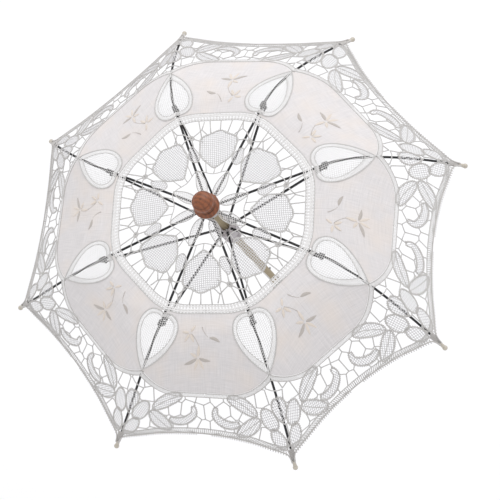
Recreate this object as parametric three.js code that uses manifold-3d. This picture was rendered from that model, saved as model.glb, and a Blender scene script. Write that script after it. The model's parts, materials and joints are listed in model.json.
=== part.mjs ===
// Lace parasol: a folding sunshade with eight curved steel ribs, a sliding runner and a
// domed cover.  Millimetres, +Z along the shaft towards the finial.  The origin is the
// centre of the flat end of the handle.
import * as THREE from 'three';
import { mergeVertices } from 'three/addons/utils/BufferGeometryUtils.js';
import Module from 'manifold-3d';

const wasm = await Module();
wasm.setup();

// ---- driving dimensions ----
const ribCount = 8;
const gap = 0.3;                // clearance between pieces that touch
const notchHeight = 470;        // rib hinge circle above the end of the handle
const shaftRadius = 5;
const shaftWall = 0.8;
const shaftIntoFinial = 11;     // shaft above the rib hinge circle
const shaftIntoHandle = 42;

const ribRadius = 1.4;          // round steel wire
const jointRadius = 138;        // where the stretcher is pinned, from the shaft's axis
const jointDrop = 17.6;         // and below the hinge circle
const bendStart = 6;            // the rib stays straight this far past the joint
const overlap = 0.5;            // length by which joined solids run into each other
const bendPull = 42;            // how far its bend reaches out before it turns down
const tipRadius = 283;          // end of the rib wire, from the axis
const tipDrop = 125.5;          // and below the hinge circle
const tipLean = 5.4 * Math.PI / 180;  // the cover pulls every tip sideways by this angle
const foldAngle = 66 * Math.PI / 180; // turn of a rib from open to closed

const wireRadius = 0.7;         // ring wires that the ribs and stretchers hang on
const eyeRadius = 2.4;          // flattened end of a rib or stretcher
const eyeThickness = 2;
const crownWall = 3.4;          // material outside a hinge circle
const notchSlotFloor = 1;       // and between the shaft's bore and the ribs' slots
const runnerSlotFloor = 2;      // or the stretchers' slots
const crownBelow = 5.5;         // height of the slotted crown, below and above the circle
const crownAbove = 2;
const notchSkirt = 9;           // plain sleeve under the notch's crown
const skirtWall = 1.9;
const sleeveWall = 3.9;         // runner's sleeve, around the shaft
const sleeveLength = 27;
const flangeHeight = 4;
const flangeReach = 2.2;
const runnerDrop = 74.2;        // runner's circle below the notch's, when open

const stretcherHeight = 2.4;
const stretcherWidth = 2.2;
const pinRadius = 1.1;
const pinDrop = 5.6;            // stretcher's pin below the rib's centre line
const cheek = 1;                // thickness of each side of the stretcher's fork
const forkLength = 15;
const forkRound = 2.4;          // radius of the fork's end, about the pin
const earThickness = 1.8;
const clipWall = 0.8;
const clipLength = 7;

const ballRadius = 3.1;
const ferruleRadius = 2.3;
const ferruleLength = 7;

const coverThickness = 1.6;
const coverEase = 0.6;          // air between the cover and the clips on the ribs
const coverHoleEase = 1.7;      // and between its hole and the shaft's bore
const coverTipGap = 6;          // cover stops this far short of a rib's end
const coverScallop = 22;        // edge half way between two ribs, short of the ribs' ends

const finialRadius = 15;        // wide foot
const finialFoot = 7;           // and its height
const finialNeck = 10.5;
const finialKnob = 12.8;        // round knob above a narrow neck
const finialShoulder = 17;      // height at which the knob is widest
const finialHeight = 27;
const washerRadius = 12;
const washerThickness = 1;

const handleLength = 120;
const handleRadius = 11;
const handleEnd = 9.5;          // radius of the flat end
const collarHeight = 12;
const collarRadius = 8;

const catchLength = 26;         // leaf spring inside the shaft
const catchWidth = 2.4;
const catchLeaf = 0.9;
const catchReach = 2;           // how far its nose stands out of the shaft
const noseHeight = 8;
const stopPinRadius = 0.8;
const stopPinReach = 1.6;
const crossPinRadius = 1;

// ---- places that follow from them ----
const sector = 2 * Math.PI / ribCount;
const boreRadius = shaftRadius + gap;
const pivotRadius = boreRadius + notchSlotFloor + gap + eyeRadius;        // ribs' hinges
const runnerPivotRadius = boreRadius + runnerSlotFloor + gap + eyeRadius; // stretchers' hinges
const ribSlope = Math.atan2(jointDrop, jointRadius - pivotRadius);
const ribDirection = new THREE.Vector2(Math.cos(ribSlope), -Math.sin(ribSlope));
const ribStart = new THREE.Vector2(pivotRadius, 0);
const joint = new THREE.Vector2(jointRadius, -jointDrop);
const bendPoint = joint.clone().addScaledVector(ribDirection, bendStart);
const bendControl = bendPoint.clone().addScaledVector(ribDirection, bendPull);
const ribEnd = new THREE.Vector2(tipRadius, -tipDrop);
const pin = joint.clone().add(new THREE.Vector2(-Math.sin(ribSlope), -Math.cos(ribSlope))
  .multiplyScalar(pinDrop));
const runnerPivot = new THREE.Vector2(runnerPivotRadius, -runnerDrop);
const stretcherLength = pin.distanceTo(runnerPivot);
const stretcherRise = Math.atan2(pin.y - runnerPivot.y, pin.x - runnerPivot.x);
const closedPin = pin.clone().rotateAround(ribStart, -foldAngle);
const closedDrop = -closedPin.y
  + Math.sqrt(stretcherLength ** 2 - (closedPin.x - runnerPivotRadius) ** 2);
const shaftTop = notchHeight + shaftIntoFinial;
const shaftBottom = handleLength - shaftIntoHandle;
const slotWidth = 2 * ribRadius + 2 * gap;
const sleeveRadius = boreRadius + sleeveWall;
const noseRadius = shaftRadius + catchReach;
const catchSlot = catchWidth + 2 * gap;
const catchTurn = sector / 2;   // the catches stand between two ribs
const coverHole = boreRadius + coverHoleEase;
const coverLift = ribRadius + gap + clipWall + coverEase;  // its underside, over a rib's line
const washerBase = notchHeight + ribHeight(coverHole) + coverLift + coverThickness + gap;
const finialBase = washerBase + washerThickness + gap;

// ---- materials ----
const finish = (color, roughness, metalness) =>
  new THREE.MeshStandardMaterial({ color, roughness, metalness });
const blackSteel = () => finish('#24242a', 0.4, 0.85);
const brightSteel = () => finish('#b9b9bc', 0.3, 0.95);
const tubeSteel = () => finish('#9b8f7c', 0.35, 0.8);
const turnedWood = () => finish('#8a5138', 0.4, 0);
const moulded = () => finish('#d9d2c2', 0.5, 0);
const creamCap = () => finish('#e9e4d8', 0.5, 0);
const laceCotton = () => finish('#e6e0da', 0.95, 0);

// ---- booleans ----
function toSolid(geometry) {
  const bare = geometry.clone();
  bare.deleteAttribute('normal');
  bare.deleteAttribute('uv');
  const merged = mergeVertices(bare, 1e-5);
  return new wasm.Manifold(new wasm.Mesh({
    numProp: 3,
    vertProperties: new Float32Array(merged.attributes.position.array),
    triVerts: new Uint32Array(merged.index.array),
  }));
}

function toGeometry(solid) {
  const mesh = solid.getMesh();
  const geometry = new THREE.BufferGeometry();
  geometry.setAttribute('position', new THREE.BufferAttribute(mesh.vertProperties, 3));
  geometry.setIndex(new THREE.BufferAttribute(mesh.triVerts, 1));
  geometry.computeVertexNormals();
  return geometry;
}

function joinAll(first, ...others) {
  return others.reduce((whole, next) => whole.add(toSolid(next)), toSolid(first));
}

function cutAll(solid, ...cutters) {
  return cutters.reduce((whole, next) => whole.subtract(toSolid(next)), solid);
}

// ---- shapes in the parasol's axes ----
// A profile of [radius, height] pairs turned about Z.
function turned(profile, segments = 20) {
  const points = profile.map(([r, h]) => new THREE.Vector2(r, h));
  return new THREE.LatheGeometry(points, segments).rotateX(Math.PI / 2);
}

// A ring of square section: a tube's wall.
function sleeve(inner, outer, low, high, segments = 20) {
  return turned([[inner, low], [outer, low], [outer, high], [inner, high], [inner, low]],
    segments);
}

// An outline in the plane of a rib (x outwards, y up), as thick as width across it.
function plate(outline, width) {
  return new THREE.ExtrudeGeometry(outline, { depth: width, bevelEnabled: false, curveSegments: 6 })
    .rotateX(Math.PI / 2)
    .translate(0, width / 2, 0);
}

// A round bar across a rib's plane, centred on it at (x, z).
function crossBar(radius, width, x, z, segments = 8) {
  return new THREE.CylinderGeometry(radius, radius, width, segments).translate(x, 0, z);
}

function block(lengthX, lengthY, lengthZ, x, y, z) {
  return new THREE.BoxGeometry(lengthX, lengthY, lengthZ).translate(x, y, z);
}

function ringWire(radius, tube, segments = 24) {
  return new THREE.TorusGeometry(radius, tube, 5, segments);
}

// ---- the rib's line and the cover's height over it ----
// Part of the bend passed at a distance r from the axis, 0 at its start and 1 at the rib's end:
// the root of  x0 + 2 t (x1 - x0) + t^2 (x0 - 2 x1 + x2) = r.
function bendFraction(r) {
  const a = bendPoint.x - 2 * bendControl.x + ribEnd.x;
  const b = bendControl.x - bendPoint.x;
  const c = bendPoint.x - r;
  return c >= 0 ? 0 : -c / (b + Math.sqrt(b * b - a * c));
}

function ribHeight(r) {
  if (r <= bendPoint.x) {
    return -(r - pivotRadius) * Math.tan(ribSlope);
  }
  const t = bendFraction(r);
  const before = (1 - t) * (1 - t) * bendPoint.y + 2 * t * (1 - t) * bendControl.y;
  return before + t * t * ribEnd.y;
}

const leanAt = (r) => tipLean * bendFraction(r) ** 1.5;

class RibLine extends THREE.Curve {
  getPoint(t, target = new THREE.Vector3()) {
    const r = pivotRadius + (tipRadius - pivotRadius) * t;
    const lean = leanAt(r);
    return target.set(r * Math.cos(lean), -r * Math.sin(lean), ribHeight(r));
  }
}

const ribLine = new RibLine();

function roundSection(radius, sides) {
  const corners = Array.from({ length: sides }, (_, i) => {
    const a = 2 * Math.PI * i / sides;
    return new THREE.Vector2(radius * Math.cos(a), radius * Math.sin(a));
  });
  return new THREE.Shape(corners);
}

// The bent part of the wire, from a little before the bend to the rib's end.
function bentWire(radius, steps, sides = 6) {
  const from = (bendPoint.x - overlap - pivotRadius) / (tipRadius - pivotRadius);
  const points = Array.from({ length: steps + 1 }, (_, i) =>
    ribLine.getPoint(from + (1 - from) * i / steps));
  const extrudePath = new THREE.CatmullRomCurve3(points);
  return new THREE.ExtrudeGeometry(roundSection(radius, sides), { steps, extrudePath });
}

// The straight part, from the eye to the bend.
function straightWire(radius, sides = 6) {
  const from = 0.6 * eyeRadius;
  const length = bendPoint.distanceTo(ribStart) - from;
  return new THREE.CylinderGeometry(radius, radius, length, sides)
    .rotateZ(-Math.PI / 2)
    .translate(from + length / 2, 0, 0)
    .rotateY(ribSlope)
    .translate(ribStart.x, 0, ribStart.y);
}

// ---- pieces of one rib, in the rib's own plane, with z = 0 at the hinge circle ----
function makeRib() {
  const eyeHole = wireRadius + gap;
  const eye = crossBar(eyeRadius, eyeThickness, pivotRadius, 0);
  return cutAll(joinAll(straightWire(ribRadius), bentWire(ribRadius, 16), eye),
    crossBar(eyeHole, slotWidth, pivotRadius, 0));
}

// A clip folded round the rib, with an ear below it and the rivet through the ear.
function makeBracket() {
  const halfClip = ribRadius + gap + clipWall;
  const earTop = -ribRadius;
  const ear = new THREE.Shape();
  ear.moveTo(-forkRound, earTop);
  ear.lineTo(-forkRound + clipWall, -pinDrop);
  ear.absarc(0, -pinDrop, forkRound - clipWall, Math.PI, 2 * Math.PI, false);
  ear.lineTo(forkRound, earTop);
  const pinLength = earThickness + 2 * (gap + cheek + gap);
  const headWidth = 0.8;
  const head = (side) => crossBar(pinRadius + 0.7, headWidth, 0, -pinDrop)
    .translate(0, side * (pinLength + headWidth) / 2, 0);
  const body = joinAll(
    block(clipLength, 2 * halfClip, 2 * halfClip, 0, 0, 0),
    plate(ear, earThickness),
    crossBar(pinRadius, pinLength + 0.2, 0, -pinDrop),
    head(1),
    head(-1),
  );
  const hole = new THREE.CylinderGeometry(ribRadius + gap, ribRadius + gap, 2 * clipLength, 8)
    .rotateZ(Math.PI / 2);
  return cutAll(body, hole).rotate([0, ribSlope * 180 / Math.PI, 0])
    .translate([joint.x, 0, joint.y]);
}

// The stretcher lies along +X from the runner's circle and is then raised to its slope.
function makeStretcher() {
  const half = stretcherHeight / 2;
  const forkWidth = earThickness + 2 * (gap + cheek);
  const forkStart = stretcherLength - forkLength;
  const slotStart = stretcherLength - forkRound - 3;
  const barStart = 0.7 * eyeRadius;
  const bar = block(slotStart - barStart, stretcherWidth, stretcherHeight,
    (slotStart + barStart) / 2, 0, 0);
  const fork = block(forkLength, forkWidth, 2 * half, forkStart + forkLength / 2, 0, 0);
  const slot = block(2 * forkLength, earThickness + 2 * gap, 3 * forkRound,
    slotStart + forkLength, 0, 0);
  const eyeHole = wireRadius + gap;
  const mouthTurn = Math.PI * 0.42;
  const mouth = block(2 * eyeRadius, 2 * eyeThickness, 2 * eyeHole, eyeRadius, 0, 0)
    .rotateY(-mouthTurn);
  const whole = joinAll(bar, fork, crossBar(forkRound, forkWidth, stretcherLength, 0),
    crossBar(eyeRadius, eyeThickness, 0, 0));
  return cutAll(whole, slot, crossBar(pinRadius + gap, 2 * forkWidth, stretcherLength, 0),
    crossBar(eyeHole, 2 * eyeThickness, 0, 0), mouth)
    .rotate([0, -stretcherRise * 180 / Math.PI, 0])
    .translate([runnerPivot.x, 0, runnerPivot.y]);
}

// A ball with a short ferrule pushed over the end of the rib.
function makeTip() {
  const bore = ribRadius + gap;
  const neck = Math.asin(ferruleRadius * 0.8 / ballRadius);
  const ball = Array.from({ length: 5 }, (_, i) => {
    const a = (Math.PI - neck) * (1 - i / 5);
    return [ballRadius * Math.sin(a), ballRadius * (1 + Math.cos(a))];
  });
  const profile = [[0, gap], [bore, gap], [bore, -ferruleLength], [ferruleRadius, -ferruleLength],
    [ferruleRadius, -1], ...ball, [0, 2 * ballRadius]];
  const tangent = ribLine.getPoint(1).sub(ribLine.getPoint(0.995)).normalize();
  const turn = new THREE.Quaternion().setFromUnitVectors(new THREE.Vector3(0, 0, 1), tangent);
  return turned(profile, 8).applyQuaternion(turn).translate(...ribLine.getPoint(1).toArray());
}

// One wedge of the cover, from half way to the rib on its left to half way to the one on its
// right.  Between two ribs the cloth runs straight across, so a point at an angle a from its rib
// is nearer to the axis by cos(sector / 2) / cos(sector / 2 - |a|).
function makePanel() {
  const rows = 10;
  const straightRows = 4;         // so a row of corners lies on the start of the bend
  const box = new THREE.BoxGeometry(1, 1, 1, rows, 6, 1);
  const at = box.attributes.position;
  const tipReach = tipRadius - coverTipGap;
  const midReach = tipRadius - coverScallop;
  for (let i = 0; i < at.count; i += 1) {
    const across = 2 * at.getY(i);
    const edge = midReach + (tipReach - midReach) * (1 - Math.abs(across)) ** 4;
    const row = (at.getX(i) + 0.5) * rows;
    const inBend = Math.max(row - straightRows, 0) / (rows - straightRows);
    const inStraight = Math.min(row / straightRows, 1);
    const r = coverHole + (bendPoint.x - coverHole) * inStraight + (edge - bendPoint.x) * inBend;
    const angle = across * (sector / 2 - gap / (2 * r));
    const draw = Math.cos(sector / 2) / Math.cos(sector / 2 - Math.abs(angle));
    const turn = angle - leanAt(r);
    const height = ribHeight(r) + coverLift + coverThickness * (at.getZ(i) + 0.5);
    at.setXYZ(i, r * draw * Math.cos(turn), r * draw * Math.sin(turn), height);
  }
  box.computeVertexNormals();
  return box;
}

// ---- pieces on the shaft ----
function slots(pivot, low, high, bottom) {
  const length = pivot + 10;
  const cutter = block(length, slotWidth, high - low, bottom + length / 2, 0, (high + low) / 2);
  return Array.from({ length: ribCount }, (_, i) => cutter.clone().rotateZ(i * sector));
}

function makeShaft() {
  const inner = shaftRadius - shaftWall;
  const slot = (foot) => block(2 * shaftRadius, catchSlot, noseHeight + 4,
    shaftRadius + 1, 0, foot + catchLength - noseHeight / 2).rotateZ(catchTurn);
  const footHole = (foot) => block(shaftRadius, catchSlot, 3, shaftRadius, 0, foot + 0.5)
    .rotateZ(catchTurn);
  return cutAll(toSolid(sleeve(inner, shaftRadius, shaftBottom, shaftTop, 24)),
    slot(topCatchFoot), footHole(topCatchFoot), slot(bottomCatchFoot), footHole(bottomCatchFoot),
    crossBar(stopPinRadius + gap, 4 * shaftRadius, 0, stopPinHeight, 8),
    crossBar(crossPinRadius + gap, 4 * shaftRadius, 0, crossPinHeight, 8));
}

function makeNotch() {
  const outer = pivotRadius + crownWall;
  const skirt = boreRadius + skirtWall;
  const low = notchHeight - crownBelow;
  const high = notchHeight + crownAbove;
  const foot = low - notchSkirt;
  const body = turned([[boreRadius, foot], [skirt, foot], [skirt, low], [outer, low + 1.5],
    [outer, high], [boreRadius, high], [boreRadius, foot]]);
  const groove = ringWire(pivotRadius, wireRadius + gap).translate(0, 0, notchHeight);
  return cutAll(toSolid(body), ...slots(pivotRadius, low - 0.01, high + 1, boreRadius + notchSlotFloor),
    groove, crossBar(crossPinRadius + gap, 4 * shaftRadius, 0, crossPinHeight, 8));
}

function makeRunner() {
  const circle = notchHeight - runnerDrop;
  const outer = runnerPivotRadius + crownWall;
  const low = circle - crownBelow;
  const high = circle + crownAbove;
  const foot = low - sleeveLength;
  const flange = sleeveRadius + flangeReach;
  const body = turned([[boreRadius, foot], [flange, foot], [flange, foot + flangeHeight],
    [sleeveRadius, foot + flangeHeight + 2], [sleeveRadius, low - 1], [outer, low + 1],
    [outer, high], [boreRadius, high], [boreRadius, foot]]);
  const keyway = block(noseRadius + 2 * gap, catchSlot + gap, high - foot + 2,
    (noseRadius + 2 * gap) / 2, 0, (high + foot) / 2).rotateZ(catchTurn);
  const groove = ringWire(runnerPivotRadius, wireRadius + gap).translate(0, 0, circle);
  return cutAll(toSolid(body),
    ...slots(runnerPivotRadius, low - 2, high + 1, boreRadius + runnerSlotFloor), keyway, groove);
}

// A leaf spring with a sloping nose, standing in the shaft on a foot hooked through its wall.
function makeCatch(foot) {
  const outer = shaftRadius - shaftWall - gap;
  const inner = outer - catchLeaf;
  const top = catchLength;
  const leaf = new THREE.Shape([
    [inner, 0], [shaftRadius - 0.2, 0], [shaftRadius - 0.2, 1], [outer, 1],
    [outer, top - noseHeight], [noseRadius, top - 1.5], [noseRadius, top - 0.5], [inner, top - 0.5],
  ].map(([x, y]) => new THREE.Vector2(x, y)));
  return plate(leaf, catchWidth).translate(0, 0, foot).rotateZ(catchTurn);
}

function makeFinial() {
  const hole = shaftTop + gap - finialBase;
  const knobSteps = 6;
  const dome = Array.from({ length: knobSteps }, (_, i) => {
    const a = (Math.PI / 2) * i / knobSteps;
    return [finialKnob * Math.cos(a),
      finialShoulder + (finialHeight - finialShoulder) * Math.sin(a)];
  });
  const profile = [[0, hole], [boreRadius, hole], [boreRadius, 0], [finialRadius - 2.5, 0],
    [finialRadius, 1.6], [finialRadius, finialFoot - 2.4], [finialRadius - 2, finialFoot - 0.4],
    [finialNeck, finialFoot], [finialNeck, finialFoot + 1.4],
    [(finialNeck + finialKnob) / 2 + 0.6, (finialFoot + finialShoulder) / 2 - 1], ...dome,
    [0, finialHeight]];
  return turned(profile, 24).translate(0, 0, finialBase);
}

function makeHandle() {
  const low = shaftBottom - gap;
  const bead = handleRadius + 1.2;
  const waist = handleRadius - 2.2;
  const profile = [[0, 0], [handleEnd, 0], [bead - 0.6, 2], [bead, 5], [bead - 0.6, 8],
    [waist, 10.5], [handleRadius - 0.8, 22], [handleRadius, 42], [handleRadius - 0.9, 78],
    [waist - 0.4, handleLength - 16], [bead - 2, handleLength - 13], [bead - 1.4, handleLength - 9.5],
    [bead - 2, handleLength - 6], [waist, handleLength - 3.5], [waist, handleLength],
    [boreRadius, handleLength], [boreRadius, low], [0, low]];
  return turned(profile);
}

const stopPinHeight = notchHeight - runnerDrop + crownAbove + stopPinRadius + gap;
const crossPinHeight = notchHeight - crownBelow - notchSkirt / 2;
const runnerFoot = notchHeight - runnerDrop - crownBelow - sleeveLength;
const closedFoot = notchHeight - closedDrop - crownBelow - sleeveLength;
const topCatchFoot = runnerFoot - catchLength - 1;
const bottomCatchFoot = closedFoot - catchLength + noseHeight + 2;

// ---- the assembly ----
const parasol = new THREE.Group();

function add(group, name, shape, material) {
  const geometry = shape.isBufferGeometry ? shape : toGeometry(shape);
  const mesh = new THREE.Mesh(geometry, material);
  mesh.name = name;
  group.add(mesh);
}

const pinAcross = (radius, reach, height) =>
  crossBar(radius, 2 * (shaftRadius + reach), 0, height, 8);

add(parasol, 'shaft', makeShaft(), tubeSteel());
add(parasol, 'finial', makeFinial(), turnedWood());
add(parasol, 'apex_washer', sleeve(boreRadius, washerRadius, washerBase,
  washerBase + washerThickness), laceCotton());
add(parasol, 'top_notch', makeNotch(), moulded());
add(parasol, 'notch_wire', ringWire(pivotRadius, wireRadius).translate(0, 0, notchHeight),
  brightSteel());
add(parasol, 'notch_pin', pinAcross(crossPinRadius, 1.5, crossPinHeight), brightSteel());
add(parasol, 'stop_pin', pinAcross(stopPinRadius, stopPinReach, stopPinHeight), brightSteel());
add(parasol, 'runner', makeRunner(), moulded());
add(parasol, 'runner_wire', ringWire(runnerPivotRadius, wireRadius)
  .translate(0, 0, notchHeight - runnerDrop), brightSteel());
add(parasol, 'top_catch', makeCatch(topCatchFoot), brightSteel());
add(parasol, 'bottom_catch', makeCatch(bottomCatchFoot), brightSteel());
add(parasol, 'handle', makeHandle(), turnedWood());
add(parasol, 'handle_collar', sleeve(boreRadius, collarRadius, handleLength + gap,
  handleLength + gap + collarHeight), brightSteel());

const rib = makeRib();
const bracket = makeBracket();
const stretcher = makeStretcher();
for (let i = 0; i < ribCount; i += 1) {
  const arm = new THREE.Group();
  arm.position.z = notchHeight;
  arm.rotation.z = i * sector;
  add(arm, `rib_${i + 1}`, rib, blackSteel());
  add(arm, `rib_bracket_${i + 1}`, bracket, blackSteel());
  add(arm, `stretcher_${i + 1}`, stretcher, blackSteel());
  add(arm, `rib_tip_${i + 1}`, makeTip(), creamCap());
  add(arm, `cover_panel_${i + 1}`, makePanel(), laceCotton());
  parasol.add(arm);
}

export default parasol;
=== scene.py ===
# Lace parasol: a cover of linen, tape lace and needle lace on eight black steel ribs.
import json
from math import atan2, cos, pi, radians, sin, tan

import bmesh
import bpy
import numpy as np
from mathutils import Matrix, Vector
from mathutils.geometry import delaunay_2d_cdt

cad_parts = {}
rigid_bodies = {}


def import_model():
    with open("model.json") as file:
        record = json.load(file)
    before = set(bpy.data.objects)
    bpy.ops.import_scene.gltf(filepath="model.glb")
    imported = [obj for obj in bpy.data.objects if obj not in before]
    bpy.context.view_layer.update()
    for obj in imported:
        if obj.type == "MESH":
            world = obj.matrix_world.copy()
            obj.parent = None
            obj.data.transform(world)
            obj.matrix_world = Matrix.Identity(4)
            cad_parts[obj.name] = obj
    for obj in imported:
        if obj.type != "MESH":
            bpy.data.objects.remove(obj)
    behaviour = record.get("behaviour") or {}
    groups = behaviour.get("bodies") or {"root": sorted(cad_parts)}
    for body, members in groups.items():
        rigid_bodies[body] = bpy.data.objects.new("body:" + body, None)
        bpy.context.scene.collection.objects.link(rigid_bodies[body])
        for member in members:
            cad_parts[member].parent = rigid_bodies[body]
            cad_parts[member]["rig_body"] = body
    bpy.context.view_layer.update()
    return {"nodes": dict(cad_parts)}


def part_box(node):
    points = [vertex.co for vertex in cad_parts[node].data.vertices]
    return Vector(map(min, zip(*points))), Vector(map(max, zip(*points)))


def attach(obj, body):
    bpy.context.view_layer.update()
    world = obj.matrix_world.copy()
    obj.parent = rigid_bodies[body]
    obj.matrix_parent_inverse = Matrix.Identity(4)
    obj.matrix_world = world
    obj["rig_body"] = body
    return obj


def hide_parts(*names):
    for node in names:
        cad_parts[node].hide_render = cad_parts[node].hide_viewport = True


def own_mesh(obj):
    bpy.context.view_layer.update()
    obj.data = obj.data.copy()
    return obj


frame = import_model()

mm = 0.001
ribCount = 8
sector = 2 * pi / ribCount
rootBody, runnerBody = "root", "runner"

# The open rib, in mm: a straight wire to just past the stretcher's joint, then a bend to its end.
ribShape = {
    "hingeHeight": 470, "hingeRadius": 9, "jointRadius": 138, "jointDrop": 17.6, "bendStart": 6,
    "bendPull": 42, "endRadius": 283, "endDrop": 125.5, "endLean": radians(5.4),
    "wireRadius": 1.4, "eyeRadius": 2.4, "eyeHeight": 4.8, "eyeWidth": 2.0,
}


# Adds one shader node with its settings. An input gets a value, or a link from a socket or from
# another node's first output.
def addNode(material, kind, inputs=None, **settings):
    tree = material.node_tree
    made = tree.nodes.new("ShaderNode" + kind)
    for key, value in settings.items():
        setattr(made, key, value)
    for key, value in (inputs or {}).items():
        value = value.outputs[0] if isinstance(value, bpy.types.Node) else value
        if isinstance(value, bpy.types.NodeSocket):
            tree.links.new(value, made.inputs[key])
        else:
            made.inputs[key].default_value = value
    return made


# sRGB hex to linear light: a straight foot, and a power of 2.4 above it.
def linear(hexColour):
    parts = np.array([int(hexColour[i:i + 2], 16) / 255 for i in (1, 3, 5)])
    low, high = parts / 12.92, ((parts + 0.055) / 1.055) ** 2.4
    return (*np.where(parts <= 0.04045, low, high), 1.0)


def unit(vectors):
    return vectors / np.maximum(np.linalg.norm(vectors, axis=-1, keepdims=True), 1e-9)


def rotation(turn):
    return np.array([[cos(turn), -sin(turn), 0], [sin(turn), cos(turn), 0],
                     [0, 0, 1]])


# Height above the hinge circle and sideways lean of a rib at r mm from the axis: a straight slope
# up to the bend, then the quadratic curve through its start, its control point and the rib's end.
def ribLine(r):
    s = ribShape
    r = np.asarray(r, float)
    slope = atan2(s["jointDrop"], s["jointRadius"] - s["hingeRadius"])
    along = np.array([cos(slope), -sin(slope)])
    start = np.array([s["jointRadius"], -s["jointDrop"]]) + s["bendStart"] * along
    pull = start + s["bendPull"] * along
    end = np.array([s["endRadius"], -s["endDrop"]])
    a, b = start[0] - 2 * pull[0] + end[0], pull[0] - start[0]
    c = np.minimum(start[0] - r, 0)
    t = -c / (b + np.sqrt(b * b - a * c))
    bent = (1 - t) ** 2 * start[1] + 2 * t * (1 - t) * pull[1] + t * t * end[1]
    straight = -(r - s["hingeRadius"]) * tan(slope)
    return np.where(r <= start[0], straight, bent), s["endLean"] * t ** 1.5


# Points of the rib's line in space.
def onRib(r):
    height, lean = ribLine(r)
    return np.stack([r * np.cos(lean), -r * np.sin(lean), ribShape["hingeHeight"] + height], -1)


# Distance from the axis, angle from the first rib and angle from the nearest rib.
def fromRib(points):
    r, angle = np.hypot(points[..., 0], points[..., 1]), np.arctan2(points[..., 1], points[..., 0])
    return r, angle, (angle + sector / 2) % sector - sector / 2


# A point of the flat cover (x out along the rib, y to its left, mm) put over the open ribs. Between
# two ribs the cloth runs straight across, so its distance from the axis shrinks by
# cos(half sector) / cos(half sector - angle from the nearest rib).
def onCover(points, lift):
    r, angle, near = fromRib(points)
    near = np.abs(near)
    draw = cos(sector / 2) / np.cos(sector / 2 - near)
    height, lean = ribLine(r)
    turn = angle - lean
    up = ribShape["hingeHeight"] + height + lift
    return np.stack([r * draw * np.cos(turn), r * draw * np.sin(turn), up], -1)


# The cross product of the cover's slopes along x and along y.
def coverNormal(points):
    step = 0.4
    acrossX = onCover(points + [step, 0], 0) - onCover(points - [step, 0], 0)
    acrossY = onCover(points + [0, step], 0) - onCover(points - [0, step], 0)
    return unit(np.cross(acrossX, acrossY))


# Quads over rings of corners: rings is (lines, steps, corners, 3). A line that isn't closed gets a
# flat cap at each end, and every face points away from the line.
def sweptFaces(rings, closed=False):
    lines, steps, corners = rings.shape[:3]
    index = np.arange(lines * steps * corners).reshape(lines, steps, corners)
    ahead = np.roll(index, -1, 1) if closed else index[:, 1:]
    here = index if closed else index[:, :-1]
    quads = np.stack([here, np.roll(here, -1, 2), np.roll(ahead, -1, 2), ahead], -1)
    faces = [quads.reshape(-1, 4)]
    if not closed:
        faces += [index[:, 0, ::-1], index[:, -1]]
    return faces


# A rectangular net of corners, facing up where rows run out and columns run left.
def gridFaces(rows, columns):
    index = np.arange(rows * columns).reshape(rows, columns)
    quads = np.stack([index[:-1, :-1], index[1:, :-1], index[1:, 1:], index[:-1, 1:]], -1)
    return [quads.reshape(-1, 4)]


def placed(name, data):
    made = bpy.data.objects.new(name, data)
    bpy.context.scene.collection.objects.link(made)
    return made


# One mesh object from several (corners in mm, faces, pattern coordinates) parts.
def makePiece(name, parts, material, turn=0.0):
    corners = np.concatenate([p[0].reshape(-1, 3) for p in parts]) @ rotation(turn).T * mm
    pattern = np.concatenate([p[2].reshape(-1, 3) for p in parts])
    loops, sizes, base = [], [], 0
    for points, faces, _ in parts:
        for block in faces:
            loops.append((block + base).ravel())
            sizes.append(np.full(len(block), block.shape[1]))
        base += points.size // 3
    loops, sizes = np.concatenate(loops), np.concatenate(sizes)
    mesh = bpy.data.meshes.new(name)
    mesh.vertices.add(len(corners))
    mesh.vertices.foreach_set("co", corners.astype(np.float32).ravel())
    mesh.loops.add(len(loops))
    mesh.loops.foreach_set("vertex_index", loops.astype(np.int32))
    mesh.polygons.add(len(sizes))
    mesh.polygons.foreach_set("loop_start", (np.cumsum(sizes) - sizes).astype(np.int32))
    mesh.polygons.foreach_set("use_smooth", np.full(len(sizes), True))
    mesh.attributes.new("pattern", "FLOAT_VECTOR", "POINT")
    mesh.attributes["pattern"].data.foreach_set("vector", pattern.astype(np.float32).ravel())
    mesh.update(calc_edges=True)
    mesh.materials.append(material)
    return placed(name, mesh)


# Points of the flat cover from their distance from the axis and their angle from the rib.
def polar(r, degrees):
    r, a = np.asarray(r), np.radians(degrees)
    return np.stack([r * np.cos(a), r * np.sin(a)], -1)


# Unit vectors along a direction given in degrees, and to its left.
def heading(degrees):
    a = radians(degrees)
    return np.array([cos(a), sin(a)]), np.array([-sin(a), cos(a)])


def turned(points, degrees):
    return points @ rotation(radians(degrees))[:2, :2].T


# Points set evenly along a line, by interpolation on its running length.
def evenly(line, count, closed=False):
    line = np.concatenate([line, line[:1]]) if closed else line
    run = np.concatenate([[0], np.cumsum(np.linalg.norm(np.diff(line, axis=0), axis=1))])
    at = np.linspace(0, run[-1], count, endpoint=not closed)
    return np.stack([np.interp(at, run, line[:, k]) for k in (0, 1)], -1)


# The Catmull-Rom curve through the points, set evenly.
def smooth(points, count, closed=False):
    p = np.asarray(points, float)
    ends = [p[-1:], p, p[:2]] if closed else [2 * p[:1] - p[1:2], p, 2 * p[-1:] - p[-2:-1]]
    p = np.concatenate(ends)
    t = np.linspace(0, 1, 16, endpoint=False)[None, :, None]
    a, b, c, d = (p[k:len(p) - 3 + k, None] for k in range(4))
    curve = 0.5 * (2 * b + (c - a) * t + (2 * a - 5 * b + 4 * c - d) * t ** 2
                   + (3 * b - a - 3 * c + d) * t ** 3).reshape(-1, 2)
    curve = curve if closed else np.concatenate([curve, p[-2:-1]])
    return evenly(curve, count, closed)


def lineLength(line):
    return np.linalg.norm(np.diff(line, axis=0), axis=1).sum()


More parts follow.
